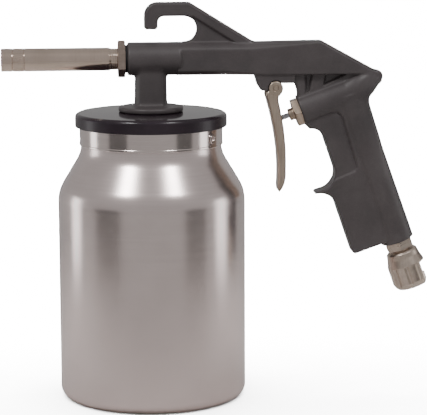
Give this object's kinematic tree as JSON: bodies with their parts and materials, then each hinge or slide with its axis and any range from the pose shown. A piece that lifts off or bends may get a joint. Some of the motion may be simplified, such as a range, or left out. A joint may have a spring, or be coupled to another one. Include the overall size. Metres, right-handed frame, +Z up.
{
  "type": "suction feed spray gun",
  "caption": "Suction-feed spray and blast gun with a one litre aluminium cup, black lid, pistol grip, trigger valve, hanging hook, long nozzle and bayonet air inlet.",
  "frame": {"origin": "centre of the cup's flat base, on the surface it stands on", "axes": "+Z up along the cup's axis, -X the way the nozzle points, +X towards the grip, +Y to the gun's right seen from the grip"},
  "size_m": [0.2279, 0.1, 0.2113],
  "materials": {
    "cup_aluminium": "spun aluminium, finely brushed round",
    "ring_aluminium": "rolled aluminium band, semi-bright",
    "lid_black": "black, semi-gloss",
    "black_rubber": "matte nitrile rubber",
    "red_fibre": "vulcanised fibre",
    "brass": "turned brass",
    "body_grey": "die-cast aluminium, dark grey powder coat",
    "tube_aluminium": "drawn tube",
    "nickel_satin": "satin nickel plate",
    "nickel_nut": "satin nickel plate, darker",
    "nickel_trigger": "satin nickel plate",
    "nickel_coupler": "nickel-plated brass casting",
    "hard_steel": "hardened steel",
    "white_ptfe": "PTFE"
  },
  "bodies": {
    "cup": {"cup": "cup_aluminium", "neck_ring": "ring_aluminium", "neck_rivets": "ring_aluminium"},
    "gun": {"lid": "lid_black", "lid_gasket": "black_rubber", "lid_washer": "red_fibre", "lid_nut": "brass", "gun_body": "body_grey", "pickup_tube": "tube_aluminium", "air_jet": "brass", "nozzle_tube": "nickel_satin", "nozzle_cap": "nickel_satin", "nozzle_insert": "hard_steel", "lock_nut": "nickel_nut", "lock_washer": "black_rubber", "trigger_pin": "nickel_trigger", "valve_gland": "nickel_satin", "packing_nut": "nickel_satin", "packing_ring": "white_ptfe", "valve_seat": "brass", "valve_spring": "hard_steel", "inlet_nipple": "nickel_satin", "coupler": "nickel_coupler", "coupler_seal": "black_rubber"},
    "trigger": {"trigger": "nickel_trigger"},
    "valve": {"valve_pin": "hard_steel", "valve_poppet": "brass", "valve_seal": "black_rubber"}
  },
  "joints": [
    {"name": "gun_lift", "type": "slide", "parent": "cup", "child": "gun", "axis": [0, 0, 1], "range_m": [0, 0.16]},
    {"name": "trigger_pull", "type": "hinge", "parent": "gun", "child": "trigger", "pos_m": [0.0663, 0, 0.1654], "axis": [0, -1, 0], "range_deg": [0, 13], "stiffness_Nm_per_rad": 0.25, "springref_deg": -6.88},
    {"name": "valve_slide", "type": "slide", "parent": "gun", "child": "valve", "axis": [0.9421, 0, 0.3355], "range_m": [0, 0.0039], "deforming": ["valve_spring"]}
  ],
  "couplings": [
    {"joint": "valve_slide", "follows": "trigger_pull", "m_per_rad": 0.016687}
  ]
}
